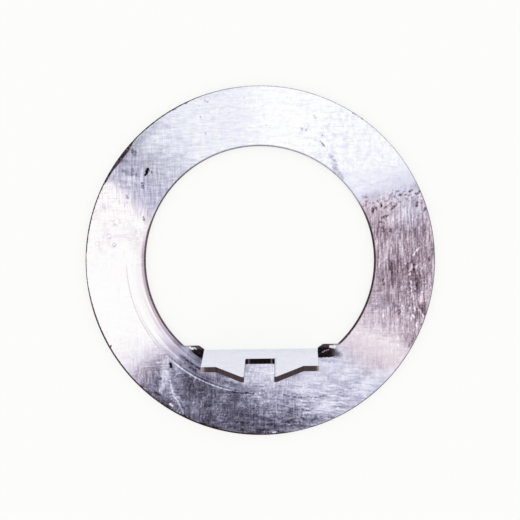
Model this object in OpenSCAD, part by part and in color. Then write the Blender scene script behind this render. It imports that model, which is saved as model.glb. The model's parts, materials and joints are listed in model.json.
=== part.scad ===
// Tang washer for a wheel spindle, stamped and bent from one piece of sheet steel.
// Millimetres. The ring lies on Z = 0 with the bore's axis along Z. The bore is D-shaped: its flat is
// on the -Y side, and there one forked tang is bent up and back over the ring.

/* [Ring] */
// Outside diameter of the ring
outer_d = 68.5; // [56:0.5:84]
// Diameter of the round part of the bore
bore_d = 44.8; // [36:0.2:50]
// Thickness of the sheet
sheet_t = 1.2; // [0.9:0.05:1.6]
// Radius that the punch leaves on the bore's upper edge
bore_roll = 0.45; // [0.05:0.05:0.6]
// Radius of the blank's upper outside edge
rim_roll = 0.2; // [0.05:0.05:0.6]

/* [Flat of the bore] */
// Distance from the bore's axis to the flat
flat_y = 16.6; // [13:0.1:19]
// How far the tang's face stands back from the flat
tang_setback = 0.75; // [0.2:0.05:2]
// Width of the slanted step between the flat and the tang, on each side
step_w = 1.1; // [0.5:0.1:2]

/* [Tang] */
// Width of the tang
tang_w = 22.2; // [18:0.1:27]
// Length of the straight tang from its bend to the points of the fork
tang_l = 13.1; // [11:0.1:20]
// Length of the straight tang from its bend to its square shoulders
shoulder_l = 8.3; // [6:0.1:10.5]
// Width of each square shoulder
shoulder_w = 2.85; // [1.5:0.05:5]
// Width of the blunt point of each prong
point_w = 0.5; // [0.2:0.1:2]
// Angle that the tang is bent through: 90 would stand it upright
bend_a = 107; // [90:1:125]
// Radius inside the bend
bend_r = 0.5; // [0.3:0.1:1.5]

/* [Notch between the prongs] */
// Width of the notch
notch_w = 5.5; // [4:0.1:8]
// Length of the straight tang below the notch
notch_l = 4.5; // [2:0.1:5.5]
// Radius of the notch's bottom corners
notch_r = 0.4; // [0.1:0.1:1.2]

/* [Dents beside the tang] */
// Length of the dent that bending leaves at each foot of the tang
dent_l = 3.6; // [1.5:0.1:5]
// Depth of each dent where it meets the tang
dent_depth = 0.65; // [0.2:0.05:0.75]

/* [Hidden] */
$fn = 128;
outer_r = outer_d / 2;
bore_r = bore_d / 2;
// The tang's outward face and the line where its bend starts, measured from the bore's axis
tang_y = flat_y + tang_setback;
bend_y = tang_y + bend_r + sheet_t;
// The plate behind the flat laps the ring far enough to fill the bore's rolled edge
web_lap = bore_roll + 1;
// The tang's sheet laps back into the plate behind the bend
plate_lap = 1;
// Allowance by which a cut runs past the surface that it opens
past = 1;

// Corner left between a square edge and the radius that rounds it
module roll_off(r) {
    difference() {
        translate([-past, 0])
            square([r + past, r + past]);
        translate([r, 0])
            circle(r);
        translate([r - past / 4, -past])
            square([past, past]);
    }
}

module ring_section() {
    difference() {
        translate([bore_r, 0])
            square([outer_r - bore_r, sheet_t]);
        translate([bore_r, sheet_t - bore_roll])
            roll_off(bore_roll);
        translate([outer_r, sheet_t - rim_roll])
            mirror([1, 0])
                roll_off(rim_roll);
    }
}

module ring() {
    rotate_extrude()
        ring_section();
}

// Segment of plate that closes the round bore down to its flat
module web() {
    linear_extrude(sheet_t)
        intersection() {
            circle(bore_r + web_lap);
            translate([-outer_r, -outer_r])
                square([outer_d, outer_r - flat_y]);
        }
}

// Gap that the tang leaves in the plate when it is bent up, with its slanted sides
module tang_gap() {
    translate([0, 0, -past])
        linear_extrude(sheet_t + 2 * past) {
            translate([-tang_w / 2, -bend_y])
                square([tang_w, bend_y]);
            polygon([
                [-tang_w / 2, -tang_y],
                [tang_w / 2, -tang_y],
                [tang_w / 2 + step_w, -flat_y],
                [tang_w / 2 + step_w, 0],
                [-tang_w / 2 - step_w, 0],
                [-tang_w / 2 - step_w, -flat_y],
            ]);
        }
}

// Sloping dent beside the tang: deepest at the tang, open to the bore, running out along the flat
module dent() {
    translate([tang_w / 2, -bend_y, sheet_t - dent_depth])
        rotate([0, -atan2(dent_depth, dent_l), 0])
            translate([-past, 0, 0])
                cube([dent_l + 2 * past, bend_y - flat_y + past, dent_depth + past]);
}

module plate() {
    difference() {
        union() {
            ring();
            web();
        }
        tang_gap();
        dent();
        mirror([1, 0, 0])
            dent();
    }
}

// Side view of all that lies inside a bend of radius r, centred on the bend's axis: the page's X is the
// part's Y. The plate comes in from the left along the bottom, and the tang goes up at the bend's angle.
module inside_bend(r, plate_l, blade_l, back) {
    circle(r);
    translate([-plate_l, -r])
        square([plate_l, r + back]);
    rotate(bend_a)
        translate([0, -r])
            square([blade_l, r + back]);
}

module sheet_side() {
    open_reach = 3 * (bend_r + sheet_t);
    difference() {
        inside_bend(bend_r + sheet_t, plate_lap, tang_l, 0);
        inside_bend(bend_r, plate_lap + past, tang_l + past, bend_r / 2);
        // The open side of the bend, between the plate and the tang
        polygon([
            [0, 0],
            [-open_reach, 0],
            [open_reach * cos(bend_a), open_reach * sin(bend_a)],
        ]);
    }
}

module notch() {
    translate([-notch_w / 2, notch_l + notch_r])
        square([notch_w, tang_l]);
    translate([notch_r - notch_w / 2, notch_l])
        square([notch_w - 2 * notch_r, tang_l]);
    for (side = [-1, 1])
        translate([side * (notch_w / 2 - notch_r), notch_l + notch_r])
            circle(notch_r);
}

// What the blanking cuts from one corner of the tang: it leaves a square shoulder and a sloping prong
module corner_cut() {
    point_x = notch_w / 2 + point_w;
    knee_x = tang_w / 2 - shoulder_w;
    polygon([
        [tang_w / 2 + past, shoulder_l],
        [knee_x, shoulder_l],
        [point_x, tang_l],
        [point_x, tang_l + past],
        [tang_w / 2 + past, tang_l + past],
    ]);
}

module tang() {
    translate([0, -bend_y, sheet_t + bend_r])
        difference() {
            translate([-tang_w / 2, 0, 0])
                rotate([90, 0, 90])
                    linear_extrude(tang_w)
                        sheet_side();
            rotate([bend_a, 0, 0])
                translate([0, 0, -bend_r - sheet_t - past])
                    linear_extrude(sheet_t + 2 * past) {
                        notch();
                        corner_cut();
                        mirror([1, 0])
                            corner_cut();
                    }
        }
}

module tang_washer() {
    color("silver") {
        plate();
        tang();
    }
}

tang_washer();
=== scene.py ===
"""Tang washer: a stamped sheet-steel ring with a D-shaped bore and one forked tang.

The blank is laid out flat, as the press leaves it, with rolled upper edges and sheared walls. A
Geometry Nodes tree then bends the tang up, and the finish follows the sheet round the bend.
"""
import json
import math

import bpy
import numpy as np
from mathutils import Matrix, Vector

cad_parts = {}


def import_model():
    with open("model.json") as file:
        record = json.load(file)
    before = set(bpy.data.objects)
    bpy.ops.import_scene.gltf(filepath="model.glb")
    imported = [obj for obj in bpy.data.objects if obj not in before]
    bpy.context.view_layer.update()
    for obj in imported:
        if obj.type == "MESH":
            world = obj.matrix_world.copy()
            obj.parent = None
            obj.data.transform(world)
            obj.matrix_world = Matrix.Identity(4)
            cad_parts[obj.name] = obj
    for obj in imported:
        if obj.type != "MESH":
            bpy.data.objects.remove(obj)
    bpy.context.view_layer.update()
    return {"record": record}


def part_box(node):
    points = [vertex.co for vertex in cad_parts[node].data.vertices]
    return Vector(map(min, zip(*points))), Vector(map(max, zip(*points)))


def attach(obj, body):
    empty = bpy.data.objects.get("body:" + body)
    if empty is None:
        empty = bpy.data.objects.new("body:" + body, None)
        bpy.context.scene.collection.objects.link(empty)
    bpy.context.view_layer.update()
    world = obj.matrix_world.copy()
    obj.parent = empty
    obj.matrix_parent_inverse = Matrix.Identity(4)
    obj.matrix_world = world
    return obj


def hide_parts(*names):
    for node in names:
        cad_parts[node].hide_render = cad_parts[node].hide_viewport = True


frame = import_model()

MM = 0.001
NODE = "tang_washer"
MOUNTS = {mount["name"]: mount for mount in frame["record"]["mounts"]}
LOW, HIGH = (np.array(corner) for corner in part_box(NODE))

# The blank, in metres. What the frame states is read from it, and the rest repeats the part's sizes.
OUTER_R = (HIGH[0] - LOW[0]) / 2
BORE_R = MOUNTS["spindle_bore"]["dims"]["r_mm"] * MM
SHEET = MOUNTS["nut_face"]["pos_m"][2]
FLAT_Y = 16.6 * MM
TANG_Y = 17.35 * MM
STEP_W = 1.1 * MM
TANG_W = 22.2 * MM
TANG_L = 13.1 * MM
SHOULDER_L = 8.3 * MM
SHOULDER_W = 2.85 * MM
POINT_W = 0.5 * MM
NOTCH_W = 5.5 * MM
NOTCH_L = 4.5 * MM
NOTCH_R = 0.4 * MM
BEND_R = 0.5 * MM
BEND_A = math.radians(107)
BEND_Y = TANG_Y + BEND_R + SHEET
BEND_L = BEND_A * (BEND_R + SHEET / 2)

# Radius rolled on each upper edge by the punch
ROLL = {"bore": 0.45, "flat": 0.4, "step": 0.25, "slit": 0.12, "tang": 0.12, "rim": 0.2}
ROLL = {name: radius * MM for name, radius in ROLL.items()}
# Width of the slit beside the foot of the tang
SLIT_W = 0.05 * MM
# Below the roll the wall is burnished, and from here down it is torn and slopes back to the burr
TEAR_Z = 0.42 * SHEET
TEAR_IN = 0.07 * MM

# Rings of points down the edge: the roll's by their turn in degrees from the sheet's face, and the torn
# part's by how far back and how high they lie, as shares of TEAR_IN and TEAR_Z
ROLL_TURNS = (30, 60, 90)
TEAR_RINGS = ((0.0, 1.0), (0.6, 0.55), (0.9, 0.12))
# How far each ring of points down the edge shows the cut wall and not the sheet's face
WALL_SHARES = (0.1, 0.4, 1.0, 1.0, 1.0, 1.0)

# The dents that bending left beside the tang's foot, in millimetres: where each ends along X and over what
# length it runs out there, where its step is (from the bore's axis on the right, past the bore's circle on
# the left) and how wide that is, and its depth as a share of the sheet
DENT_R = {"end": 15.5, "run": 2.6, "step": 19.2, "edge": 0.25, "depth": 0.64}
DENT_L = {"end": 15.1, "run": 2.4, "step": 0.08, "edge": 0.35, "depth": 0.58}
# Towards the bore both get shallower by a share of their depth, from a line on and over a length
DENT_RISE = {"share": 0.4, "line": 17.8, "run": 0.7}

# How far the sheet's grain is turned from the flat of the bore
LAY = math.radians(0.9)

# The mesh: rows from the bore out to the rim, which crowd towards the bore, and rows up the tang
ROWS_TOP, ROWS_UNDER = 64, 14
ROW_POWER = 1.6
BEND_ROWS, STEM_ROWS, PRONG_ROWS = 16, 14, 26
# Columns across the notch's floor, and from its corner on to the notch's wall, the point, the knee and the
# tang's side
FLOOR_COLUMNS = 15
PRONG_COLUMNS = (5, 2, 16, 10)
# Points along each other stretch of the inner outline
STEPS = {"slit": 9, "step": 7, "flat": 16, "bore": 501}


# ---------------------------------------------------------------- the flat blank

def run(start, end, count):
    """Points from start up to, but without, end."""
    start, end = np.array(start, float), np.array(end, float)
    return start + (end - start) * np.arange(count)[:, None] / count


def columns(inset):
    """Places across the tang, from left to right, with one at each corner of its outline."""
    slope = math.atan2(TANG_L - SHOULDER_L, TANG_W / 2 - SHOULDER_W - NOTCH_W / 2 - POINT_W)
    lean = inset * math.tan(slope / 2)
    half = TANG_W / 2 - inset
    knee = TANG_W / 2 - SHOULDER_W - lean
    point = NOTCH_W / 2 + POINT_W - lean
    notch = NOTCH_W / 2 + inset
    floor = NOTCH_W / 2 - NOTCH_R
    ends = (floor, notch, point, knee, half)
    right = [np.linspace(*piece, endpoint=False) for piece in zip(ends, ends[1:], PRONG_COLUMNS)]
    right = np.concatenate(right + [[half]])
    middle = np.linspace(-floor, floor, FLOOR_COLUMNS)[1:-1]
    return np.concatenate([-right[::-1], middle, right])


# The columns that the notch's two walls stand on
LEFT_WALL = sum(PRONG_COLUMNS[1:])
COLUMNS = len(columns(0))
RIGHT_WALL = COLUMNS - 1 - LEFT_WALL


def tang_end(x, inset):
    """How far the tang's outline reaches past the bend at each place across its prongs."""
    knee = TANG_W / 2 - SHOULDER_W
    point = NOTCH_W / 2 + POINT_W
    rise = (TANG_L - SHOULDER_L) / (knee - point)
    slope = TANG_L - (np.abs(x) - point) * rise - inset * math.hypot(1, rise)
    return np.clip(slope, SHOULDER_L - inset, TANG_L - inset)


def notch_floor(x, inset):
    """How far past the bend the notch's floor lies, with its rounded corners."""
    over = np.clip(np.abs(x) - (NOTCH_W / 2 - NOTCH_R), 0, NOTCH_R + inset)
    return NOTCH_L + NOTCH_R - np.sqrt((NOTCH_R + inset) ** 2 - over**2)


def inner_outline(inset):
    """The plate's inner end of each spoke, counterclockwise from the left end of the tang's foot."""
    x = columns(inset["tang"])
    foot = np.column_stack([x, np.full(len(x), -BEND_Y)])
    side = TANG_W / 2 + SLIT_W + inset["slit"]
    flat = -FLAT_Y - inset["flat"]
    rise = (TANG_Y - FLAT_Y) / STEP_W
    lean = inset["step"] * math.hypot(1, rise)
    step_low = -TANG_Y + (side - TANG_W / 2) * rise - lean
    step_end = TANG_W / 2 + (flat + TANG_Y + lean) / rise
    bore = BORE_R + inset["bore"]
    corner = math.sqrt(bore**2 - flat**2)
    right = np.concatenate([
        run((side, -BEND_Y - inset["slit"]), (side, step_low), STEPS["slit"]),
        run((side, step_low), (step_end, flat), STEPS["step"]),
        run((step_end, flat), (corner, flat), STEPS["flat"]),
    ])
    start = math.atan2(flat, corner)
    angles = np.linspace(start, math.pi - start, STEPS["bore"])
    arc = bore * np.column_stack([np.cos(angles), np.sin(angles)])
    left = right[::-1] * (-1, 1)
    return np.concatenate([foot, right, arc, left])


SECTIONS = ["tang"] * COLUMNS
for stretch in ("slit", "step", "flat", "bore", "flat", "step", "slit"):
    SECTIONS += [stretch] * STEPS[stretch]
SPOKES = len(SECTIONS)
NO_INSET = dict.fromkeys(ROLL, 0.0)
SPOKE_ANGLES = np.arctan2(*inner_outline(NO_INSET).T[::-1])


def at_height(flat, z):
    """Flat points given a height: one for all of them, or one for each."""
    return np.column_stack([flat, np.broadcast_to(z, len(flat))])


class Layer:
    """One level of the flat blank: its points, and the numbers of those on its faces and edges."""

    def __init__(self, inset, rows):
        inner = inner_outline(inset)
        rim = (OUTER_R - inset["rim"]) * np.column_stack([np.cos(SPOKE_ANGLES), np.sin(SPOKE_ANGLES)])
        along = (np.arange(rows + 1) / rows)[None, :, None] ** ROW_POWER
        plate = inner[:, None] + (rim - inner)[:, None] * along
        x = columns(inset["tang"])
        top = np.where(np.abs(x) < NOTCH_W / 2, notch_floor(x, inset["tang"]), NOTCH_L + NOTCH_R)
        bend = np.linspace(0, BEND_L, BEND_ROWS + 1)[1:]
        stem = BEND_L + np.linspace(0, 1, STEM_ROWS + 1)[1:] * top[:, None]
        stem = np.concatenate([np.tile(bend, (COLUMNS, 1)), stem], axis=1)
        self.plate = np.arange(SPOKES * (rows + 1)).reshape(SPOKES, rows + 1)
        count = self.plate.size
        numbers = count + np.arange(stem.size).reshape(stem.shape)
        self.stem = np.column_stack([self.plate[:COLUMNS, 0], numbers])
        count += stem.size
        points = [plate.reshape(-1, 2), self.flat_points(x, stem)]
        self.prongs = []
        for side in (slice(0, LEFT_WALL + 1), slice(RIGHT_WALL, COLUMNS)):
            foot = NOTCH_L + NOTCH_R
            end = tang_end(x[side], inset["tang"])[:, None]
            reach = BEND_L + foot + (end - foot) * np.linspace(0, 1, PRONG_ROWS + 1)[1:]
            numbers = count + np.arange(reach.size).reshape(reach.shape)
            self.prongs.append(np.column_stack([self.stem[side, -1], numbers]))
            points.append(self.flat_points(x[side], reach))
            count += reach.size
        self.points = np.concatenate(points)
        self.on_tang = np.arange(count) >= self.plate.size

    @staticmethod
    def flat_points(x, reach):
        """Places on the tang, from those across it and how far past the bend line each reaches."""
        return np.column_stack([np.repeat(x, reach.shape[1]), reach.ravel() - BEND_Y])

    def faces(self):
        """Quads of the whole level, counterclockwise seen from above."""
        ring = np.concatenate([self.plate, self.plate[:1]])
        found = [quads(ring)]
        found += [quads(grid)[:, ::-1] for grid in (self.stem, *self.prongs)]
        return np.concatenate(found)

    def inner_loop(self):
        """The edge round the bore and the tang, with the metal on the right."""
        left, right = self.prongs
        return np.concatenate([
            self.plate[COLUMNS - 1:, 0],
            self.stem[0, :],
            left[0, 1:],
            left[1:, -1],
            left[-1, -2:0:-1],
            self.stem[LEFT_WALL:RIGHT_WALL + 1, -1],
            right[0, 1:],
            right[1:, -1],
            right[-1, -2:0:-1],
            self.stem[-1, -1:0:-1],
        ])

    def rim_loop(self):
        """The outer edge, with the metal on the right."""
        return self.plate[::-1, -1]


def quads(grid):
    """Quads between neighbouring rows and columns of a grid of point numbers."""
    return np.stack([grid[:-1, :-1], grid[:-1, 1:], grid[1:, 1:], grid[1:, :-1]], axis=-1).reshape(-1, 4)


def section_of(loop):
    """The name of the stretch of outline that each point of an inner loop is on."""
    plate_part = ["tang"] + SECTIONS[COLUMNS:]
    return plate_part + ["tang"] * (len(loop) - len(plate_part))


def smooth(share):
    """Smooth step from 0 to 1 as share goes from 0 to 1, and level past both."""
    share = np.clip(share, 0, 1)
    return share * share * (3 - 2 * share)


def pressed(x, y):
    """How deep the sheet is pressed in, as a share of its thickness: the dents beside the tang's foot.

    The right one ends at a straight step in line with the bend, and the left one at the bore's circle.
    """
    x, y = x / MM, y / MM
    beside = np.abs(x) > (TANG_W + SLIT_W) / 2 / MM
    past_bore = np.hypot(x, y) - BORE_R / MM
    right = smooth((DENT_R["end"] - x) / DENT_R["run"]) * smooth((y + DENT_R["step"]) / DENT_R["edge"])
    left = smooth((DENT_L["end"] + x) / DENT_L["run"])
    left = left * smooth((DENT_L["step"] - past_bore) / DENT_L["edge"])
    rise = 1 - DENT_RISE["share"] * smooth((y + DENT_RISE["line"]) / DENT_RISE["run"])
    depth = np.where(x > 0, right * DENT_R["depth"], left * DENT_L["depth"])
    return np.where(beside & (y < 0), depth * rise, 0)


def edge_rings(name, sections):
    """Rings of points down the wall under one of the edge loops: its roll, then its torn part."""
    rolls = np.array([ROLL[section] for section in sections])
    rings = []
    for turn in np.radians(ROLL_TURNS):
        layer = Layer({key: radius * (1 - np.sin(turn)) for key, radius in ROLL.items()}, 1)
        flat = layer.points[getattr(layer, name)()]
        rings.append(at_height(flat, SHEET - rolls * (1 - np.cos(turn))))
    for share, height in TEAR_RINGS:
        layer = Layer(dict.fromkeys(ROLL, TEAR_IN * share), 1)
        flat = layer.points[getattr(layer, name)()]
        rings.append(at_height(flat, TEAR_Z * height))
    return rings


def blank():
    """Points, faces, and tang, wall and dent masks of the flat blank."""
    upper = Layer(ROLL, ROWS_TOP)
    under = Layer(dict.fromkeys(ROLL, TEAR_IN), ROWS_UNDER)
    points = [at_height(upper.points, SHEET), at_height(under.points, 0)]
    tang = [upper.on_tang, under.on_tang]
    faces = [upper.faces(), under.faces()[:, ::-1] + len(upper.points)]
    wall = [np.zeros(len(part)) for part in points]
    count = len(upper.points) + len(under.points)
    for name in ("inner_loop", "rim_loop"):
        loop = getattr(upper, name)()
        sections = section_of(loop) if name == "inner_loop" else ["rim"] * len(loop)
        rings = edge_rings(name, sections)
        numbers = [loop]
        for ring, wall_share in zip(rings, WALL_SHARES):
            numbers.append(count + np.arange(len(ring)))
            count += len(ring)
            tang.append(upper.on_tang[loop])
            wall.append(np.full(len(ring), wall_share))
        numbers.append(getattr(under, name)() + len(upper.points))
        points += rings
        bands = np.array(numbers).T
        faces.append(quads(np.concatenate([bands, bands[:1]]))[:, ::-1])
    points = np.concatenate(points)
    dent = pressed(points[:, 0], points[:, 1])
    points[:, 2] *= 1 - dent
    return points, np.concatenate(faces), np.concatenate(tang), np.concatenate(wall), dent / max(dent)


# ---------------------------------------------------------------- node trees

class Graph:
    """A node tree, with short calls for the nodes that the bend and the finish are made of."""

    def __init__(self, tree):
        self.tree = tree

    def add(self, kind, inputs=None, **settings):
        """A new node, with its inputs linked from sockets or set to values."""
        node = self.tree.nodes.new(kind)
        for name, value in settings.items():
            setattr(node, name, value)
        for name, value in (inputs or {}).items():
            if isinstance(value, bpy.types.NodeSocket):
                self.tree.links.new(value, node.inputs[name])
            else:
                node.inputs[name].default_value = value
        return node

    def maths(self, operation, *values):
        return self.add("ShaderNodeMath", dict(enumerate(values)), operation=operation).outputs[0]

    def chain(self, operation, first, *others):
        """The same operation over any number of values."""
        for value in others:
            first = self.maths(operation, first, value)
        return first

    def product(self, *values):
        return self.chain("MULTIPLY", *values)

    def total(self, *values):
        return self.chain("ADD", *values)

    def highest(self, *values):
        return self.chain("MAXIMUM", *values)

    def minus(self, first, second):
        return self.maths("SUBTRACT", first, second)

    def rest(self, share):
        """What a share leaves of 1."""
        return self.minus(1.0, share)

    def weighed(self, *pairs):
        """The sum of several values, each given with its weight."""
        return self.total(*[self.product(value, weight) for value, weight in pairs])

    def vector(self, operation, first, second, output=0):
        return self.add("ShaderNodeVectorMath", {0: first, 1: second}, operation=operation).outputs[output]

    def scaled(self, vector, amount):
        return self.add("ShaderNodeVectorMath", {0: vector, 3: amount}, operation="SCALE").outputs[0]

    def dot(self, first, second):
        return self.vector("DOT_PRODUCT", first, second, "Value")

    def turned(self, vector, angle, back=False):
        """The vector turned about Z by an angle, or turned back by it."""
        inputs = {"Vector": vector, "Angle": angle}
        return self.add("ShaderNodeVectorRotate", inputs, rotation_type="Z_AXIS", invert=back).outputs[0]

    def split(self, vector):
        return self.add("ShaderNodeSeparateXYZ", {0: vector}).outputs

    def joined(self, x, y, z):
        return self.add("ShaderNodeCombineXYZ", {0: x, 1: y, 2: z}).outputs[0]

    def ease(self, value, start, end, low=0.0, high=1.0):
        """Smooth change from low to high as value goes from start to end, and level past both.

        A smooth step stays in range without clamping, and clamped nodes overfill the shader's stack.
        """
        inputs = {0: value, 1: start, 2: end, 3: low, 4: high}
        return self.add("ShaderNodeMapRange", inputs, interpolation_type="SMOOTHSTEP", clamp=False).outputs[0]

    def near(self, value, full, gone, most=1.0):
        """most where value lies within full of 0 on either side, easing to 0 at gone."""
        return self.ease(self.maths("ABSOLUTE", value), full, gone, most, 0.0)

    def between(self, share, first, second):
        return self.add("ShaderNodeMix", {0: share, 2: first, 3: second}, data_type="FLOAT").outputs[0]

    def blend(self, share, first, second):
        """The first colour where share is 0 and the second where it is 1."""
        return self.add("ShaderNodeMix", {0: share, 6: first, 7: second}, data_type="RGBA").outputs[2]

    def noise(self, vector, scale=1.0, detail=3.0, rough=0.5, output=0):
        inputs = {"Vector": vector, "Scale": scale, "Detail": detail, "Roughness": rough}
        return self.add("ShaderNodeTexNoise", inputs).outputs[output]

    def waver(self, vector, scale, detail, rough):
        """Noise spread out to run from -1 to 1."""
        return self.ease(self.noise(vector, scale, detail, rough), 0.3, 0.7, -1.0, 1.0)

    def scatter(self, vector, scale, detail, rough=0.5):
        """Noise as a vector that wanders about 0."""
        moved = self.noise(vector, scale, detail, rough, output="Color")
        return self.vector("SUBTRACT", moved, (0.5, 0.5, 0.5))

    def group(self, name, output=0, **inputs):
        """One of the finish's node groups, with its inputs named in words joined by underscores."""
        node = self.add("ShaderNodeGroup", node_tree=GROUPS[name])
        for key, value in inputs.items():
            socket = node.inputs[key.replace("_", " ").title()]
            if isinstance(value, bpy.types.NodeSocket):
                self.tree.links.new(value, socket)
            else:
                socket.default_value = value
        return node.outputs[output]


# ---------------------------------------------------------------- the bend

# The bend tree's inputs, by name
BEND_SIZES = {"Bend Line": BEND_Y, "Sheet": SHEET, "Inside Radius": BEND_R, "Bend Angle": BEND_A}
# Edges between faces that meet at more than this stay sharp
SHARP = math.radians(40)


def bend_tree():
    """Bends every point marked tang up about a line across the sheet, and keeps its flat place as blank."""
    tree = bpy.data.node_groups.new("bend_tang", "GeometryNodeTree")
    face = tree.interface
    face.new_socket("Geometry", in_out="INPUT", socket_type="NodeSocketGeometry")
    for name in BEND_SIZES:
        face.new_socket(name, in_out="INPUT", socket_type="NodeSocketFloat")
    face.new_socket("Material", in_out="INPUT", socket_type="NodeSocketMaterial")
    face.new_socket("Geometry", in_out="OUTPUT", socket_type="NodeSocketGeometry")
    given = tree.nodes.new("NodeGroupInput").outputs
    line, sheet, radius, angle = (given[name] for name in BEND_SIZES)
    g = Graph(tree)
    place = g.add("GeometryNodeInputPosition").outputs[0]
    kept = g.add("GeometryNodeStoreNamedAttribute", {"Geometry": given["Geometry"], "Name": "blank"},
                 data_type="FLOAT_VECTOR", domain="POINT")
    tree.links.new(place, kept.inputs["Value"])
    flat = g.split(place)
    arc = g.product(g.total(g.product(sheet, 0.5), radius), angle)
    reach = g.total(flat["Y"], line)
    turn = g.product(g.maths("MINIMUM", g.maths("DIVIDE", reach, arc), 1.0), angle)
    straight = g.highest(g.minus(reach, arc), 0.0)
    axis_z = g.total(sheet, radius)
    out = g.minus(axis_z, flat["Z"])
    y = g.minus(g.product(out, g.maths("SINE", turn)), line)
    y = g.total(y, g.product(straight, g.maths("COSINE", angle)))
    z = g.minus(axis_z, g.product(out, g.maths("COSINE", turn)))
    z = g.total(z, g.product(straight, g.maths("SINE", angle)))
    marked = g.add("GeometryNodeInputNamedAttribute", {"Name": "tang"}, data_type="FLOAT").outputs[0]
    shaped = g.add("GeometryNodeSetPosition", {
        "Geometry": kept.outputs[0], "Selection": marked, "Position": g.joined(flat["X"], y, z)})
    real = g.add("GeometryNodeRealizeInstances", {"Geometry": shaped.outputs[0]})
    finished = g.add("GeometryNodeSetMaterial", {"Geometry": real.outputs[0], "Material": given["Material"]})
    g.add("NodeGroupOutput", {0: finished.outputs[0]})
    return tree


def set_input(modifier, name, value):
    """Sets a modifier's input, found by its name and set by its identifier."""
    sockets = modifier.node_group.interface.items_tree
    found = next(item for item in sockets if item.name == name and item.in_out == "INPUT")
    modifier[found.identifier] = value


def placed(name, data):
    """A new object at the origin, in the scene."""
    made = bpy.data.objects.new(name, data)
    bpy.context.scene.collection.objects.link(made)
    return made


def make_washer(material):
    """Makes the washer: its blank, bent by the tree, becomes a plain mesh that stands for the CAD node."""
    points, faces, tang, wall, dent = blank()
    flat = bpy.data.meshes.new("blank")
    flat.from_pydata(points.tolist(), [], faces.tolist())
    for name, values in (("tang", tang), ("wall", wall), ("dent", dent)):
        flat.attributes.new(name, "FLOAT", "POINT").data.foreach_set("value", values.astype(float))
    maker = placed("blank", flat)
    modifier = maker.modifiers.new("bend", "NODES")
    modifier.node_group = bend_tree()
    for name, value in {**BEND_SIZES, "Material": material}.items():
        set_input(modifier, name, value)
    evaluated = maker.evaluated_get(bpy.context.evaluated_depsgraph_get())
    mesh = bpy.data.meshes.new_from_object(evaluated)
    bpy.data.objects.remove(maker)
    mesh.shade_smooth()
    mesh.set_sharp_from_angle(angle=SHARP)
    washer = placed("washer", mesh)
    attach(washer, "root")
    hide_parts(NODE)


# ---------------------------------------------------------------- finish: groups for marks and grain

def shader_group(name, inputs, outputs):
    """An empty shader group. inputs gives each socket's default, and a tuple makes a vector."""
    tree = bpy.data.node_groups.new(name, "ShaderNodeTree")
    for socket, value in inputs.items():
        kind = "NodeSocketVector" if isinstance(value, tuple) else "NodeSocketFloat"
        tree.interface.new_socket(socket, in_out="INPUT", socket_type=kind).default_value = value
    for socket in outputs:
        tree.interface.new_socket(socket, in_out="OUTPUT", socket_type="NodeSocketFloat")
    GROUPS[name] = tree
    return Graph(tree), tree.nodes.new("NodeGroupInput").outputs


def close_group(g, *results):
    g.add("NodeGroupOutput", dict(enumerate(results)))


def polar_group():
    """Angle in degrees counterclockwise from +X, 0 to 360, and radius about the axis."""
    g, given = shader_group("polar", {"Vector": (0, 0, 0)}, ["Angle", "Radius"])
    flat = g.split(given["Vector"])
    turn = g.maths("DEGREES", g.maths("ARCTAN2", flat["Y"], flat["X"]))
    radius = g.maths("SQRT", g.total(g.product(flat["X"], flat["X"]), g.product(flat["Y"], flat["Y"])))
    close_group(g, g.maths("FLOORED_MODULO", turn, 360.0), radius)


def sector_group():
    """1 within Half Width of the Middle angle, easing to 0 over Soft more degrees."""
    sockets = {"Angle": 0.0, "Middle": 0.0, "Half Width": 10.0, "Soft": 10.0}
    g, given = shader_group("sector", sockets, ["Mask"])
    apart = g.maths("WRAP", g.minus(given["Angle"], given["Middle"]), 180.0, -180.0)
    end = g.total(given["Half Width"], given["Soft"])
    close_group(g, g.near(apart, given["Half Width"], end))


def patch_group():
    """A soft-edged ellipse: 1 at its Centre, 0 outside. Reach holds its half length and half width."""
    sockets = {"Vector": (0, 0, 0), "Centre": (0, 0, 0), "Reach": (1, 1, 1), "Turn": 0.0, "Soft": 0.5}
    g, given = shader_group("patch", sockets, ["Mask"])
    turned = g.turned(g.vector("SUBTRACT", given["Vector"], given["Centre"]), given["Turn"], back=True)
    flat = g.vector("MULTIPLY", g.vector("DIVIDE", turned, given["Reach"]), (1, 1, 0))
    size = g.maths("SQRT", g.dot(flat, flat))
    close_group(g, g.ease(size, g.rest(given["Soft"]), 1.0, 1.0, 0.0))


def scratch_group():
    """1 along the line from Start to End, fading from 0.15 of its Width away to nothing at 0.6 of it."""
    sockets = {"Vector": (0, 0, 0), "Start": (0, 0, 0), "End": (1, 0, 0), "Width": 0.3}
    g, given = shader_group("scratch", sockets, ["Mask"])
    along = g.vector("SUBTRACT", given["End"], given["Start"])
    away = g.vector("MULTIPLY", g.vector("SUBTRACT", given["Vector"], given["Start"]), (1, 1, 0))
    share = g.maths("DIVIDE", g.dot(away, along), g.dot(along, along))
    share = g.add("ShaderNodeClamp", {0: share}).outputs[0]
    apart = g.vector("DISTANCE", away, g.scaled(along, share), "Value")
    close_group(g, g.ease(apart, g.product(given["Width"], 0.15), g.product(given["Width"], 0.6), 1.0, 0.0))


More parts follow.
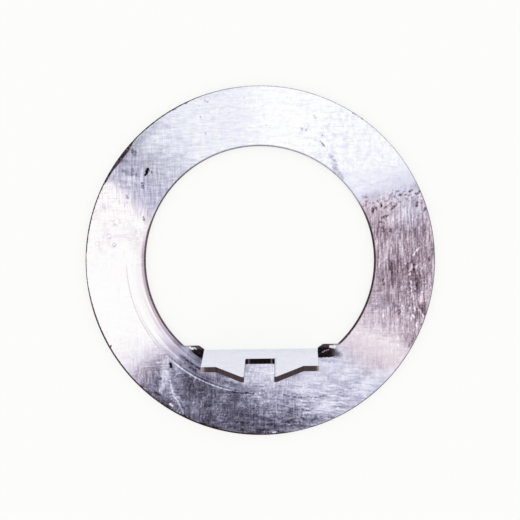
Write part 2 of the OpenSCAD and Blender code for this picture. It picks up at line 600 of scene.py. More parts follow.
def brush_group():
    """Noise drawn out along one direction: Across and Along are its scales, and Wave bends it by Bend."""
    sockets = {"Vector": (0, 0, 0), "Bend": (0, 0, 0), "Turn": 0.0, "Across": 2.0, "Along": 0.2, "Wave": 0.0,
               "Seed": 0.0}
    g, given = shader_group("brush", sockets, ["Value"])
    moved = g.vector("ADD", given["Vector"], g.scaled(given["Bend"], given["Wave"]))
    turned = g.turned(moved, given["Turn"], back=True)
    drawn = g.vector("MULTIPLY", turned, g.joined(given["Along"], given["Across"], given["Across"]))
    noise = g.noise(g.vector("ADD", drawn, g.scaled((7.3, 3.1, 5.9), given["Seed"])), 1.0, 3.0, 0.55)
    close_group(g, g.ease(noise, 0.28, 0.72, -1.0, 1.0))


def fleck_group():
    """Scattered drawn-out flecks, one in each cell, of which Keep says what share is there."""
    sockets = {"Vector": (0, 0, 0), "Turn": 0.0, "Across": 2.0, "Along": 1.0, "Keep": 0.5, "Seed": 0.0}
    g, given = shader_group("fleck", sockets, ["Mask"])
    turned = g.turned(given["Vector"], given["Turn"], back=True)
    drawn = g.vector("MULTIPLY", turned, g.joined(given["Along"], given["Across"], 0.0))
    drawn = g.vector("ADD", drawn, g.scaled((4.7, 9.1, 0.0), given["Seed"]))
    cells = g.add("ShaderNodeTexVoronoi", {"Vector": drawn, "Scale": 1.0}, voronoi_dimensions="2D").outputs
    chance = g.split(cells["Color"])
    size = g.total(0.2, g.product(chance["Y"], 0.25))
    there = g.ease(chance["X"], given["Keep"], g.minus(given["Keep"], 0.15))
    close_group(g, g.product(there, g.ease(cells["Distance"], size, g.product(size, 0.3))))


GROUPS = {}
for make_group in (polar_group, sector_group, patch_group, scratch_group, brush_group, fleck_group):
    make_group()


# ---------------------------------------------------------------- finish: the steel

# Places and radii are in millimetres on the flat blank, turned with its grain, and angles in degrees
# counterclockwise from +X. A shade goes from 0, clean, to 1, black.

def colour(red, green, blue):
    """A colour given as it looks on a screen, 0 to 255, in the linear values that sockets take."""
    return tuple(((value / 255 + 0.055) / 1.055) ** 2.4 for value in (red, green, blue)) + (1.0,)


# Depth of the brushed lines
GRAIN_DEPTH = 0.004 * MM

# Colours of the steel at each shade
COOL = {0.0: (254, 254, 254), 0.05: (241, 242, 250), 0.1: (229, 230, 245), 0.25: (190, 188, 210),
        0.4: (149, 146, 168), 0.6: (99, 96, 116), 0.8: (50, 47, 60), 1.0: (12, 11, 13)}
SMOKY = {0.0: (254, 254, 254), 0.1: (230, 233, 245), 0.25: (190, 192, 207), 0.4: (149, 150, 166),
         0.6: (99, 99, 113), 1.0: (12, 11, 13)}
WARM = {0.0: (254, 253, 253), 0.1: (235, 225, 233), 0.25: (200, 184, 198), 0.4: (160, 142, 156),
        0.6: (108, 90, 101), 0.8: (56, 45, 49), 1.0: (14, 10, 10)}
BROWN = {0.0: (240, 234, 232), 0.3: (176, 163, 167), 0.6: (98, 83, 90), 0.8: (56, 45, 49), 1.0: (15, 11, 12)}

# Marks on the ring's upper side: points along each, its width, and the shade it adds
PITS = [
    ([(-21.9, 17.85), (-22.05, 17.35)], 0.72, 1.0),
    ([(-22.15, 17.2), (-22.4, 16.7)], 0.5, 0.95),
    ([(-17.5, -20.3), (-17.4, -20.9)], 0.62, 0.95),
    ([(-8.4, 33.5), (-8.1, 33.6)], 0.7, 0.5),
    ([(-14.6, 30.8), (-14.2, 31.0)], 0.6, 0.5),
    ([(-16.9, 29.6), (-16.5, 29.8)], 0.6, 0.45),
    ([(18.3, 28.8), (18.7, 28.6)], 0.5, 0.4),
    ([(19.9, 27.8), (20.1, 27.6)], 0.5, 0.5),
    ([(-29.4, -17.0), (-29.2, -16.95)], 0.5, 0.6),
    ([(-5.4, -25.7), (-3.2, -26.0), (-1.2, -26.15)], 0.42, 0.36),
]
# Where the plating chipped off along the upper end of the stain
CHIPS = [
    ([(23.8, 10.9), (23.75, 10.4)], 0.55, 0.75),
    ([(22.2, 10.2), (22.1, 9.4)], 0.6, 0.55),
    ([(22.75, 10.3), (22.8, 10.0)], 0.5, 0.5),
    ([(24.5, 10.2), (25.0, 10.7)], 0.5, 0.34),
    ([(25.9, 10.1), (26.8, 10.9)], 0.6, 0.42),
    ([(23.9, 8.2), (24.6, 8.6), (25.0, 8.75)], 0.6, 0.34),
    ([(25.3, 8.7), (25.6, 8.9)], 0.45, 0.2),
    ([(25.3, 11.9), (25.45, 12.7), (25.9, 13.2)], 0.4, 0.3),
    ([(25.8, 11.8), (26.0, 12.9)], 0.35, 0.24),
    ([(26.35, 12.3), (26.5, 12.7)], 0.5, 0.4),
    ([(26.8, 13.3), (27.1, 13.5)], 0.6, 0.36),
    ([(27.4, 12.75), (27.75, 12.8)], 0.6, 0.5),
    ([(28.4, 12.7), (28.55, 12.8)], 0.5, 0.42),
    ([(28.1, 13.3), (28.35, 13.4)], 0.45, 0.3),
    ([(29.3, 13.4), (29.6, 13.6)], 0.6, 0.5),
    ([(30.5, 12.95), (31.0, 13.1), (31.3, 13.4)], 0.6, 0.5),
    ([(30.8, 11.3), (30.7, 10.6)], 0.6, 0.42),
    ([(32.2, 10.1), (32.15, 9.8)], 0.6, 0.42),
    ([(31.8, 11.6), (31.6, 11.1)], 0.5, 0.26),
    ([(25.5, 11.05), (25.8, 11.2)], 0.4, 0.28),
    ([(24.2, 12.3), (24.25, 11.9)], 0.4, 0.26),
    ([(23.0, 11.6), (23.2, 11.4)], 0.4, 0.26),
    ([(20.8, 11.5), (21.1, 11.4)], 0.5, 0.34),
    ([(20.3, 12.4), (21.0, 12.3)], 0.5, 0.2),
    ([(23.5, 7.5), (24.3, 7.3)], 0.5, 0.24),
    ([(24.1, 6.4), (24.2, 5.7)], 0.7, 0.26),
    ([(25.5, 6.1), (25.55, 5.6)], 0.7, 0.3),
]
# Fainter marks, which the speckle breaks up
FAINT_MARKS = [
    ([(-21.3, 17.4), (-21.1, 17.2)], 0.5, 0.35),
    ([(-23.1, 15.1), (-22.9, 14.3)], 0.75, 0.4),
    ([(-26.2, 12.5), (-25.9, 12.3)], 0.6, 0.35),
    ([(-22.75, 8.4), (-22.7, 7.9)], 0.6, 0.45),
    ([(-24.9, 21.5), (-24.5, 21.0)], 1.2, 0.34),
    ([(-25.0, 18.1), (-24.8, 17.5)], 0.5, 0.3),
    ([(-26.9, 17.6), (-25.9, 17.1), (-24.3, 16.8)], 0.9, 0.18),
    ([(-27.6, 15.6), (-26.6, 15.2), (-25.6, 15.4), (-24.2, 14.9)], 0.8, 0.12),
    ([(-28.0, 14.6), (-26.8, 14.2), (-25.6, 14.4)], 0.7, 0.1),
    ([(-26.9, 19.6), (-25.9, 19.3)], 0.9, 0.12),
    ([(-10.6, 24.9), (-10.5, 24.7)], 0.45, 0.3),
    ([(-11.6, 28.1), (-11.5, 27.9)], 0.45, 0.3),
    ([(10.7, 28.2), (10.9, 27.8)], 0.6, 0.24),
    ([(8.3, 25.8), (8.3, 25.3)], 0.45, 0.3),
    ([(9.2, 25.7), (9.2, 25.4)], 0.45, 0.26),
    ([(12.0, 23.2), (12.7, 22.3)], 0.45, 0.4),
    ([(12.3, 24.5), (12.3, 24.2)], 0.45, 0.26),
    ([(13.7, 20.8), (14.7, 19.2)], 0.9, 0.2),
    ([(14.7, 19.2), (14.8, 17.7), (16.2, 16.1)], 1.3, 0.2),
    ([(-19.8, -23.0), (-19.2, -23.4)], 0.8, 0.3),
    ([(-20.4, -25.9), (-19.7, -26.4)], 0.9, 0.28),
    ([(30.0, -15.4), (29.2, -16.9)], 0.8, 0.24),
    ([(28.9, -14.4), (28.7, -15.4)], 0.5, 0.2),
    ([(-15.4, -18.7), (-13.4, -20.2), (-11.6, -21.3)], 0.55, 0.3),
    ([(-14.6, -20.2), (-12.4, -21.8)], 0.5, 0.34),
    ([(-16.6, -19.5), (-15.2, -20.6)], 0.35, 0.2),
    ([(15.6, -26.0), (16.8, -26.5)], 1.0, 0.16),
    ([(12.2, -19.6), (14.6, -19.9)], 0.5, 0.14),
    ([(25.6, -0.3), (25.4, -1.9)], 0.9, 0.16),
    ([(28.9, -0.4), (28.8, -1.3)], 0.7, 0.2),
    ([(30.3, -0.9), (30.2, -2.4)], 0.7, 0.22),
    ([(30.5, -3.3), (30.7, -5.0), (30.3, -6.3)], 1.0, 0.18),
    ([(29.3, -5.4), (29.4, -6.4)], 0.6, 0.16),
    ([(27.4, -9.8), (27.3, -10.3)], 0.6, 0.22),
    ([(33.2, 0.6), (33.1, 0.0)], 0.7, 0.26),
    ([(24.1, -3.9), (24.2, -4.5)], 0.7, 0.22),
    ([(31.2, -8.5), (32.3, -10.3)], 0.8, 0.18),
    ([(4.6, -31.6), (6.4, -31.5), (8.0, -31.7)], 0.5, 0.14),
    ([(4.9, -26.4), (6.6, -26.7), (8.2, -26.9)], 0.5, 0.24),
    ([(9.4, -26.6), (11.3, -26.8), (13.0, -26.4)], 0.45, 0.22),
    ([(5.8, -29.7), (6.8, -29.9)], 1.2, 0.14),
    ([(8.3, -30.8), (9.0, -31.3), (10.4, -31.3), (11.1, -30.5)], 0.6, 0.24),
    ([(11.0, -30.8), (12.3, -30.9), (14.4, -30.7)], 0.45, 0.24),
    ([(8.3, -29.1), (9.6, -29.4), (10.7, -28.9)], 0.45, 0.14),
    ([(13.9, -28.7), (15.6, -28.5), (17.2, -28.6)], 0.4, 0.16),
]
# Faint rings that drops left: centre and radius
RINGS = [((-28.1, 7.5), 0.6), ((-29.6, 4.7), 0.4), ((-31.8, 3.2), 0.4), ((-28.5, 3.0), 0.3),
         ((-26.0, 10.8), 0.5), ((-10.2, 31.6), 0.5)]
# Bright scratches and nicks, with the shade that each takes away
LIGHT_MARKS = [
    ([(-17.6, -23.6), (-16.9, -26.4), (-15.9, -27.9), (-15.0, -29.9)], 0.45, 0.24),
    ([(-17.0, -26.0), (-15.6, -27.2), (-14.4, -29.0)], 0.4, 0.16),
    ([(-17.5, -28.3), (-17.1, -28.6)], 0.5, 0.5),
    ([(2.6, -33.7), (3.1, -33.6)], 0.5, 0.6),
    ([(29.7, -0.8), (29.6, -1.8), (29.3, -2.0)], 0.5, 0.4),
    ([(29.3, -2.5), (29.2, -2.8)], 0.5, 0.36),
    ([(29.5, -4.0), (29.7, -6.2), (30.0, -7.4)], 0.42, 0.32),
    ([(30.0, -7.4), (30.1, -8.4), (30.3, -9.9)], 0.38, 0.2),
    ([(32.0, -4.4), (31.7, -6.6)], 0.45, 0.16),
    ([(31.6, -7.0), (31.3, -8.4)], 0.5, 0.13),
    ([(29.9, -10.7), (30.1, -11.1)], 0.55, 0.28),
    ([(30.8, -9.1), (32.0, -11.0)], 0.4, 0.22),
    ([(30.9, -11.3), (30.9, -12.2)], 0.4, 0.14),
    ([(30.7, -12.5), (30.7, -12.8)], 0.55, 0.26),
    ([(31.2, 2.4), (30.5, 1.8), (30.1, 1.1)], 0.45, 0.36),
    ([(30.1, 1.1), (30.1, -0.2)], 0.35, 0.14),
    ([(27.8, 2.6), (28.2, 1.2), (28.2, 0.0), (27.9, -1.7)], 0.4, 0.11),
    ([(31.0, 0.6), (31.3, -1.2), (31.6, -2.8)], 0.4, 0.1),
    ([(30.8, -1.0), (30.3, -1.4)], 0.4, 0.16),
    ([(-10.6, -21.9), (-8.2, -22.8), (-4.4, -23.9)], 0.7, 0.13),
    ([(-9.6, -23.9), (-6.2, -24.9), (-3.0, -25.3)], 1.0, 0.1),
    ([(7.2, -27.2), (9.2, -27.6)], 0.45, 0.08),
    ([(7.2, -28.2), (8.8, -28.4)], 0.45, 0.1),
    ([(8.6, -29.9), (9.9, -29.7)], 0.45, 0.16),
]

# Stretches lighter or darker than the sheet round them: centre, half length and half width,
# turn, how soft the edge is, and the shade taken away or added
LIGHTER_SPOTS = [
    # The first lighter spot, beneath the tang, is painted reflection of the tang
    ((0.4, -22.0), (6.0, 4.5), 0, 0.8, 0.23),
    ((0.2, -28.1), (5.0, 4.8), 0, 0.9, 0.19),
    ((0.6, -32.5), (7.5, 2.2), 0, 0.9, 0.12),
    ((3.8, -30.5), (2.2, 1.7), 0, 0.9, 0.12),
    ((-5.6, -22.3), (3.8, 1.2), -30, 0.9, 0.17),
    ((-14.2, -21.4), (1.8, 1.0), -30, 0.9, 0.09),
    ((-16.4, -18.9), (5.4, 1.5), -41, 0.9, 0.09),
    ((-3.0, -31.2), (2.0, 1.3), 0, 0.9, 0.13),
    ((29.6, 7.0), (1.8, 1.2), 80, 0.9, 0.06),
    ((27.3, -8.3), (1.8, 1.6), 0, 0.9, 0.05),
    ((-25.6, 15.8), (2.2, 1.8), 0, 0.9, 0.11),
    ((-17.6, 21.4), (2.4, 1.8), 40, 0.9, 0.06),
    ((-20.0, -25.3), (1.6, 1.2), 0, 0.9, 0.08),
    ((-3.2, -23.4), (2.6, 2.0), 0, 0.9, 0.19),
    ((-6.3, -26.6), (1.8, 1.6), 0, 0.9, 0.09),
    ((-12.0, -27.4), (2.0, 1.8), 0, 0.9, 0.08),
    ((-16.4, -20.2), (2.4, 1.0), 80, 0.9, 0.08),
    ((12.7, -28.8), (3.6, 2.6), 25, 0.9, 0.13),
    ((17.4, -21.8), (4.4, 2.2), 0, 0.9, 0.09),
    ((13.4, -20.4), (2.0, 1.2), 0, 0.9, 0.07),
    ((21.2, -24.4), (4.8, 2.2), 42, 0.9, 0.11),
    ((-28.6, 17.6), (2.0, 1.6), 55, 0.9, 0.08),
    ((-20.6, 23.0), (5.0, 2.6), 40, 0.9, 0.11),
    ((-23.4, 15.6), (3.2, 1.6), 55, 0.9, 0.06),
    ((27.0, 4.7), (1.9, 1.8), 0, 0.9, 0.14),
    ((27.1, 10.4), (1.8, 1.4), 0, 0.9, 0.07),
    ((27.9, 6.8), (1.8, 1.3), 0, 0.9, 0.08),
    ((25.3, -22.0), (2.6, 1.7), 45, 0.9, 0.07),
    ((-2.6, -24.4), (1.6, 1.0), 0, 0.9, 0.08),
    ((-18.5, -22.0), (3.8, 1.5), 84, 0.8, 0.25),
    ((-18.9, -25.3), (2.0, 1.7), 60, 0.9, 0.19),
    ((-16.8, -26.4), (3.0, 1.1), 115, 0.9, 0.18),
    ((-15.8, -22.5), (2.0, 1.4), 80, 0.9, 0.15),
    ((-15.3, -29.4), (1.8, 1.2), 130, 0.9, 0.1),
    ((27.2, 8.2), (5.0, 1.8), 25, 0.9, 0.08),
    ((24.3, -0.2), (3.6, 1.2), 88, 0.9, 0.14),
    ((33.4, -3.4), (2.4, 1.0), 88, 0.9, 0.04),
    ((31.0, -7.2), (2.0, 2.0), 0, 0.9, 0.05),
]
DARKER_SPOTS = [
    ((-12.8, -24.3), (3.0, 2.2), 0, 0.9, 0.16),
    ((-9.9, -26.2), (2.4, 2.0), 0, 0.9, 0.1),
    ((-9.8, -32.0), (3.0, 1.8), -18, 0.9, 0.14),
    ((9.2, -31.8), (3.5, 1.6), 15, 0.9, 0.1),
    ((7.0, -27.0), (2.6, 1.6), 0, 0.9, 0.08),
    ((-23.6, -22.2), (2.0, 1.6), 45, 0.9, 0.06),
    ((-11.9, -19.8), (1.6, 1.1), -35, 0.9, 0.18),
    ((33.3, 2.2), (2.8, 1.2), 88, 0.9, 0.14),
    ((31.2, 3.1), (2.4, 1.4), 88, 0.9, 0.13),
    ((22.9, 1.0), (2.0, 0.8), 88, 0.9, 0.09),
    ((21.7, 12.3), (3.0, 1.7), 15, 0.9, 0.11),
    ((-22.2, -21.4), (3.4, 2.4), 45, 0.9, 0.07),
    ((-2.4, -27.3), (2.4, 1.3), 0, 0.9, 0.1),
    ((18.7, -27.6), (2.4, 1.3), 35, 0.9, 0.07),
    ((-29.2, 16.4), (2.0, 1.0), 60, 0.9, 0.12),
    ((-18.6, -28.0), (2.0, 1.0), -36, 0.9, 0.07),
    ((6.8, -22.2), (1.8, 1.2), 0, 0.9, 0.06),
    ((1.7, -23.2), (1.6, 1.0), 0, 0.9, 0.07),
    ((14.8, 17.8), (1.8, 1.2), -45, 0.9, 0.06),
    ((30.5, 14.4), (2.0, 1.2), 15, 0.9, 0.08),
    ((-12.8, -31.0), (2.2, 1.2), -22, 0.9, 0.08),
    ((-5.4, -32.8), (2.0, 1.4), -8, 0.9, 0.08),
    ((-26.8, 20.3), (2.2, 0.9), 55, 0.9, 0.09),
    ((24.7, -8.2), (2.6, 1.5), 75, 0.9, 0.1),
    ((7.2, -22.3), (2.4, 1.2), 10, 0.9, 0.07),
    ((26.0, -1.8), (3.6, 2.2), 80, 0.9, 0.12),
    ((27.2, -7.8), (3.6, 2.4), 80, 0.9, 0.06),
    ((30.6, 0.6), (3.4, 2.2), 85, 0.9, 0.11),
    ((30.8, -3.9), (2.4, 1.6), 85, 0.9, 0.06),
    ((31.6, -10.7), (3.4, 2.0), 65, 0.9, 0.12),
    ((29.6, -15.4), (4.2, 2.8), 62, 0.9, 0.11),
    ((-22.2, -25.3), (2.2, 1.2), -45, 0.9, 0.12),
]

# Darker bands across the stain, and the parts of it that are cooler in tint
STAIN_BANDS = [
    ((27.0, 5.6), (8.0, 2.6), 4, 0.7, 0.11),
    ((28.0, -2.4), (8.0, 6.5), 76, 0.9, 0.12),
    ((31.4, -5.4), (9.0, 2.6), 78, 0.9, 0.09),
]
LILAC = [
    ((23.4, -10.2), (4.2, 3.8), 20, 0.9, 0.4),
    ((29.6, 10.0), (6.5, 5.5), 60, 0.9, 0.6),
]
# Painted highlights on facets in the dents beside the tang, with the shade that each takes away
GLINTS = [
    ([(-13.6, -17.2), (-13.1, -17.35)], 0.5, 0.9),
    ([(-12.8, -17.3), (-12.4, -17.5)], 0.35, 0.6),
    ([(13.9, -16.85), (14.7, -17.0)], 0.6, 0.95),
    ([(12.3, -18.1), (13.6, -17.45)], 0.28, 0.45),
]


def ramp(g, shade, colours):
    """The colour that a dictionary of shades gives, between its entries too."""
    node = g.add("ShaderNodeValToRGB", {0: shade})
    stops = node.color_ramp.elements
    for position in sorted(colours)[1:-1]:
        stops.new(position)
    for stop, position in zip(stops, sorted(colours)):
        stop.position = position
        stop.color = colour(*colours[position])
    return node.outputs[0]


def traced(g, vector, marks):
    """The strongest of several marks at each place, each times its shade."""
    strongest = 0.0
    for points, width, amount in marks:
        for start, end in zip(points, points[1:]):
            line = g.group("scratch", vector=vector, start=(*start, 0), end=(*end, 0), width=width)
            strongest = g.highest(strongest, g.product(line, amount))
    return strongest


def patched(sheet, spots):
    """The shade that a list of soft-edged spots adds up to."""
    shade = 0.0
    for centre, reach, turn, soft, amount in spots:
        shade = sheet.g.total(shade, sheet.g.product(sheet.patch(centre, reach, turn, soft), amount))
    return shade


def new_material(name):
    """A new material, its node tree and its shader."""
    material = bpy.data.materials.new(name)
    material.use_nodes = True
    return material, Graph(material.node_tree), material.node_tree.nodes["Principled BSDF"]


class Sheet:
    """What the parts of the finish share: the place on the flat blank in millimetres, and its grain.

    spot is the place turned with the grain, and frayed is the same moved about a little, for ragged edges.
    mottle and speckle are coarse and fine unevenness, upright and level are the two ways of brushing, and
    hatch is the one of them that shows at each place. All five go from -1 to 1. upper is 0 on the underside
    and 1 above it.
    """

    def __init__(self, g):
        self.g = g
        metres = g.add("ShaderNodeAttribute", attribute_name="blank").outputs["Vector"]
        self.blank = g.scaled(metres, 1 / MM)
        self.across, self.reach, self.z = (g.split(self.blank)[axis] for axis in "XYZ")
        self.spot = g.turned(self.blank, LAY)
        masks = [g.add("ShaderNodeAttribute", attribute_name=name) for name in ("wall", "tang", "dent")]
        self.wall, self.tang, self.dent = (mask.outputs["Fac"] for mask in masks)
        self.x, self.y = (g.split(self.spot)[axis] for axis in "XY")
        self.upper = g.ease(self.z, 0.2, 0.4)
        self.angle = g.group("polar", 0, vector=self.spot)
        self.radius = g.group("polar", 1, vector=self.spot)
        self.frayed = g.vector("ADD", self.spot, g.scaled(g.scatter(self.spot, 2.1, 3.0, 0.6), 0.8))
        self.bend = g.scatter(self.spot, 0.35, 2.0)
        self.drift = g.split(self.bend)
        self.mottle = g.waver(self.spot, 0.8, 6.0, 0.7)
        self.speckle = g.waver(self.spot, 2.6, 3.0, 0.65)
        self.upright = self.brush(90, 3.1, 0.32, 0.5, 1.0)
        self.level = self.brush(1, 2.9, 0.34, 0.9, 2.0)
        lean = g.ease(self.drift["X"], -0.1, 0.1)
        self.hatch = g.between(lean, self.level, self.upright)

    def sector(self, middle, half_width, soft):
        return self.g.group("sector", angle=self.angle, middle=middle, half_width=half_width, soft=soft)

    def sectors(self, *stretches):
        """The sum of several sectors, each given as its middle, half width, softness and weight."""
        return self.g.weighed(*[(self.sector(*place), weight) for *place, weight in stretches])

    def rings(self, across, along, seed, detail, rough):
        """Wavering rings about the axis. across and along are the noise's scales by radius and by angle."""
        g = self.g
        place = g.joined(g.product(self.radius, across), g.product(self.angle, along), seed)
        return g.waver(place, 1.0, detail, rough)

    def brush(self, turn, across, along, wave=0.0, seed=0.0):
        return self.g.group("brush", vector=self.spot, bend=self.bend, turn=math.radians(turn), across=across,
                            along=along, wave=wave, seed=seed)

    def flecks(self, turn, across, along, keep, seed=0.0):
        return self.g.group("fleck", vector=self.frayed, turn=math.radians(turn), across=across, along=along,
                            keep=keep, seed=seed)

    def patch(self, centre, reach, turn=0.0, soft=0.6):
        return self.g.group("patch", vector=self.frayed, centre=(*centre, 0), reach=(*reach, 1),
                            turn=math.radians(turn), soft=soft)

    def height(self, start, slope, ragged):
        """Millimetres above a ragged line that runs from a point at a slope."""
        g = self.g
        level = g.minus(g.minus(self.y, start[1]), g.product(g.minus(self.x, start[0]), slope))
        return g.total(level, g.product(self.mottle, ragged))


def broad_shade(sheet):
    """How dark each stretch is before its marks, part wear, part painted reflection; how stained and how
    warm.
    """
    g = sheet.g
    radius = sheet.radius

    # The darker stretch along the bottom: partly rubbed wear, partly painted reflection
    low = g.highest(g.product(sheet.sector(247.5, 10, 23), g.ease(radius, 22.5, 28.5, 0.84, 1.02)),
                    g.product(sheet.sector(257, 6, 28), g.ease(radius, 22.5, 30.0, 0.52, 0.98)))
    low = g.product(low, 0.57)
    tail = g.product(sheet.sector(293, 14, 30), g.ease(radius, 22.5, 33.5, 0.98, 1.0), 0.17)
    under = g.product(sheet.sector(281, 8, 14), g.ease(radius, 26.5, 33.0), 0.2)
    drifts = g.product(g.total(sheet.drift["Y"], sheet.drift["Z"]), 0.35, g.ease(low, 0.1, 0.5))
    dusk = g.product(sheet.sector(222, 5, 9), g.ease(radius, 24.0, 33.0, 0.02, 0.05))

    # The smoky patch at the upper left, with a ragged end on the left
    turned = g.total(sheet.angle, sheet.mottle, sheet.level)
    end = g.ease(turned, g.ease(radius, 23.0, 33.0, 164.0, 155.5), g.ease(radius, 23.0, 33.0, 151.0, 146.0))
    smoke = g.product(end, g.ease(turned, 115.0, 147.0), g.ease(radius, 23.0, 31.0, 0.86, 1.1), 0.26)

    # The stained right side
    upper_end = sheet.height((21.0, 11.6), 0.2, 0.7)
    lower_end = sheet.height((21.2, -13.2), -0.42, 0.5)
    lower_end = g.total(g.ease(lower_end, -3.0, 1.5, 0.0, 0.6), g.ease(lower_end, 0.0, 7.0, 0.0, 0.4))
    across = g.ease(sheet.x, 10.0, 14.0)
    stained = g.product(g.ease(upper_end, 2.0, -1.8), lower_end, across)
    haze = g.product(g.ease(upper_end, 8.0, -0.5), g.ease(sheet.y, -2.0, 6.0), across,
                     g.ease(radius, 23.0, 33.0, 0.075, 0.135))
    band = patched(sheet, STAIN_BANDS)
    depth = g.ease(upper_end, 0.5, -6.0, 0.15, 0.31)
    right = g.total(g.highest(g.product(stained, depth), haze), g.product(band, stained))

    # Faintly darker stretches in between, partly painted reflection
    pale = g.product(sheet.sector(326, 14, 18), g.ease(radius, 22.0, 33.5, 0.035, 0.07))
    top = g.product(sheet.sector(116, 13, 20), 0.07)
    dull_top = g.product(sheet.sector(42, 14, 14), g.ease(sheet.mottle, -0.6, 0.9, 0.015, 0.05))
    bore_side = g.product(sheet.sector(192, 26, 16), g.ease(radius, 25.5, 22.8), 0.06)
    blotches = g.product(g.ease(g.noise(sheet.spot, 0.5, 3.0), 0.46, 0.62), sheet.sector(163, 9, 9), 0.045)
    shade = g.total(low, drifts, tail, under, dusk, smoke, g.highest(right, pale), top, dull_top, bore_side,
                    blotches)
    shade = g.minus(g.total(shade, patched(sheet, DARKER_SPOTS)), patched(sheet, LIGHTER_SPOTS))

    # Where the tint is warm
    mauve = g.product(g.ease(upper_end, 1.6, -1.6), lower_end, across, g.rest(patched(sheet, LILAC)))
    left = g.product(sheet.sector(184, 26, 14), g.rest(end))
    warm = g.highest(mauve, left, g.product(sheet.sector(328, 8, 13), g.ease(sheet.y, -24.0, -20.0)),
                     g.product(sheet.sector(211, 11, 10), 0.5))
    return g.highest(shade, 0.0), stained, warm


def grain(sheet, broad, stained):
    """Light and dark of the brushing, stronger where the sheet is dull, and upright on the right."""
    g = sheet.g

    # Along the bottom
    rough = g.weighed((sheet.hatch, 0.6), (sheet.mottle, 0.33), (sheet.speckle, 0.39))
    rough = g.product(rough, g.rest(g.product(sheet.sector(270, 7, 8), 0.26)))
    low = g.product(sheet.sector(250, 28, 26), rough, unrubbed(sheet), g.ease(broad, 0.02, 0.42, 0.05, 0.19))

    # On the right: streaked, smeared where it is smooth, and pocked with nicks
    streaks = g.weighed((sheet.upright, 0.85), (sheet.brush(87, 1.7, 0.5, 0.8, 5.0), 0.3),
                        (sheet.speckle, 0.4))
    smeared = g.weighed((sheet.level, 0.5), (sheet.mottle, 0.3), (sheet.upright, 0.15))
    smooth_side = g.highest(sheet.patch((22.6, -7.6), (6.0, 3.6), 65, 0.8), g.ease(stained, 0.85, 0.4))
    lively = g.ease(sheet.y, 12.0, 5.0, 0.1, 0.2)
    right = g.product(stained, stained, g.between(smooth_side, streaks, smeared), lively)
    pocked = sheet.patch((29.8, -6.2), (9.5, 4.6), 78, 0.7)
    right = g.product(right, g.rest(g.product(pocked, 0.2)))
    nicks = g.minus(g.total(sheet.flecks(60, 1.8, 1.2, 0.75, 2.0), sheet.flecks(112, 1.3, 1.0, 0.5, 9.0)),
                    g.total(sheet.flecks(74, 2.1, 1.0, 0.6, 3.0), sheet.flecks(118, 2.4, 1.0, 0.4, 6.0)))
    pocked = g.product(nicks, pocked, g.ease(stained, 0.3, 0.9), 0.14)

    # Round the rest of the ring
    wavy = g.weighed((sheet.brush(-4, 2.9, 0.34, 1.3, 4.0), 0.9), (sheet.mottle, 0.3), (sheet.speckle, 0.25))
    wavy = g.product(sheet.sector(288, 14, 22), wavy, g.ease(sheet.radius, 22.0, 31.0, 0.035, 0.125))
    crossed = g.weighed((sheet.upright, 0.85), (sheet.level, 0.55), (sheet.mottle, 0.3))
    crossed = g.product(sheet.sector(143, 7, 22), crossed, g.ease(sheet.angle, 147.0, 131.0, 0.1, 0.035))
    level = g.product(sheet.sector(92, 30, 24), g.total(sheet.level, g.product(sheet.mottle, 0.8)), 0.034)
    faint = g.product(sheet.hatch, g.ease(sheet.drift["Y"], -0.1, 0.15), 0.03)
    pale = g.weighed((sheet.upright, 0.6), (sheet.mottle, 1.0), (sheet.level, 0.3))
    pale = g.product(sheet.sector(324, 14, 12), pale, 0.03)
    bright = g.weighed((sheet.hatch, 0.7), (sheet.mottle, 0.9))
    bright = g.product(bright, g.highest(sheet.sector(50, 14, 12), sheet.sector(171, 11, 8)), 0.022)
    return g.total(low, right, pocked, wavy, crossed, level, faint, pale, bright)


def unrubbed(sheet):
    """How much grain is left: little beside the bore at the lower left, where the turning nut wiped it."""
    g = sheet.g
    zone = g.product(g.ease(sheet.radius, 26.4, 25.4), sheet.sector(222, 18, 16))
    return g.rest(g.product(zone, 0.8))


def marks(sheet):
    """Shade that pits, spots and scratches add, and the shade that bright scratches and painted glints take
    away.
    """
    g = sheet.g
    broken = g.ease(sheet.speckle, -0.5, 0.5, 0.35, 1.0)
    dark = g.highest(traced(g, sheet.frayed, PITS), g.product(traced(g, sheet.frayed, FAINT_MARKS), broken),
                     g.product(traced(g, sheet.frayed, CHIPS), g.ease(sheet.speckle, -0.6, 0.2, 0.5, 0.95)))
    patchy = g.ease(sheet.mottle, -0.3, 0.5, 0.06, 0.17)
    for centre, radius in RINGS:
        apart = g.vector("DISTANCE", g.vector("MULTIPLY", sheet.frayed, (1, 1, 0)), (*centre, 0), "Value")
        dark = g.highest(dark, g.near(g.minus(apart, radius), 0.0, 0.28, patchy))
    off_line = sheet.height((21.0, 10.7), 0.27, 0.4)
    chips = g.product(g.ease(off_line, 2.6, 1.2), g.ease(off_line, -3.4, -0.8), g.ease(sheet.x, 12.0, 16.0))
    slanted = g.product(sheet.flecks(52, 1.5, 0.85, 0.85, 5.0), g.ease(off_line, 1.8, 0.2))
    chips = g.product(chips, g.highest(slanted, g.product(sheet.flecks(78, 1.8, 1.0, 0.85, 7.0), 0.7)), 0.2)
    dots = g.ease(sheet.brush(70, 2.4, 1.4, 0.5, 17.0), 0.6, 0.95)
    dots = g.product(sheet.sector(100, 62, 14), dots, g.ease(sheet.drift["Z"], -0.05, 0.12), 0.09)
    light = traced(g, sheet.frayed, LIGHT_MARKS)
    glints = g.highest(g.product(sheet.sector(254, 20, 12), 0.2), g.product(sheet.sector(352, 20, 14), 0.14))
    glints = g.product(glints, g.ease(sheet.brush(66, 3.2, 1.3, 0.5, 21.0), 0.55, 0.95), unrubbed(sheet))
    return g.highest(dark, chips, dots), g.highest(light, glints)


